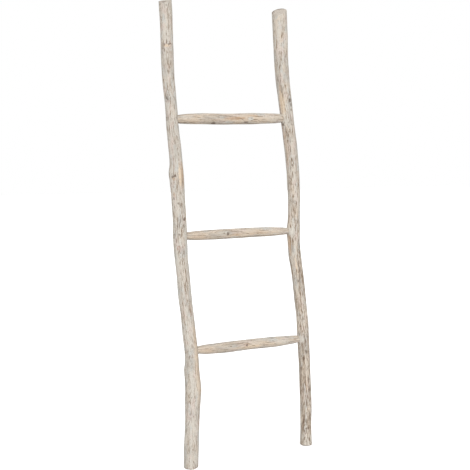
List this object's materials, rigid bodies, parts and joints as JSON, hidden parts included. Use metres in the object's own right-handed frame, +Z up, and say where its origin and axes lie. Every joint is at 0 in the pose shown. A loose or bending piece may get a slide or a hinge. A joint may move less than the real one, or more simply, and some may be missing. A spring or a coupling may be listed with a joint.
{
  "type": "leaning blanket ladder rack",
  "caption": "Leaning ladder rack of whitewashed branches, to hang quilts, blankets or towels over its rungs.",
  "frame": {"origin": "on the floor under the middle of the ladder's bounding box, with the ladder leaning as it is used", "axes": "+Z up, +X across the ladder from the left rail to the right rail seen from the front, +Y towards the wall that the tops lean on"},
  "size_m": [0.5069, 0.2198, 1.5052],
  "materials": {
    "rail_wood": "whitewashed rough branch, brown in the grooves and knots",
    "rung_wood": "whitewashed rough branch, whittled bare at the ends",
    "plug_wood": "whitewashed over end grain",
    "screw_steel": "zinc plated"
  },
  "bodies": {
    "root": {"joint_screw_bottom_left": "screw_steel", "joint_screw_bottom_right": "screw_steel", "joint_screw_middle_left": "screw_steel", "joint_screw_middle_right": "screw_steel", "joint_screw_top_left": "screw_steel", "joint_screw_top_right": "screw_steel", "rail_left": "rail_wood", "rail_right": "rail_wood", "rung_bottom": "rung_wood", "rung_middle": "rung_wood", "rung_top": "rung_wood", "screw_plug_bottom_left": "plug_wood", "screw_plug_bottom_right": "plug_wood", "screw_plug_middle_left": "plug_wood", "screw_plug_middle_right": "plug_wood", "screw_plug_top_left": "plug_wood", "screw_plug_top_right": "plug_wood"}
  },
  "joints": []
}
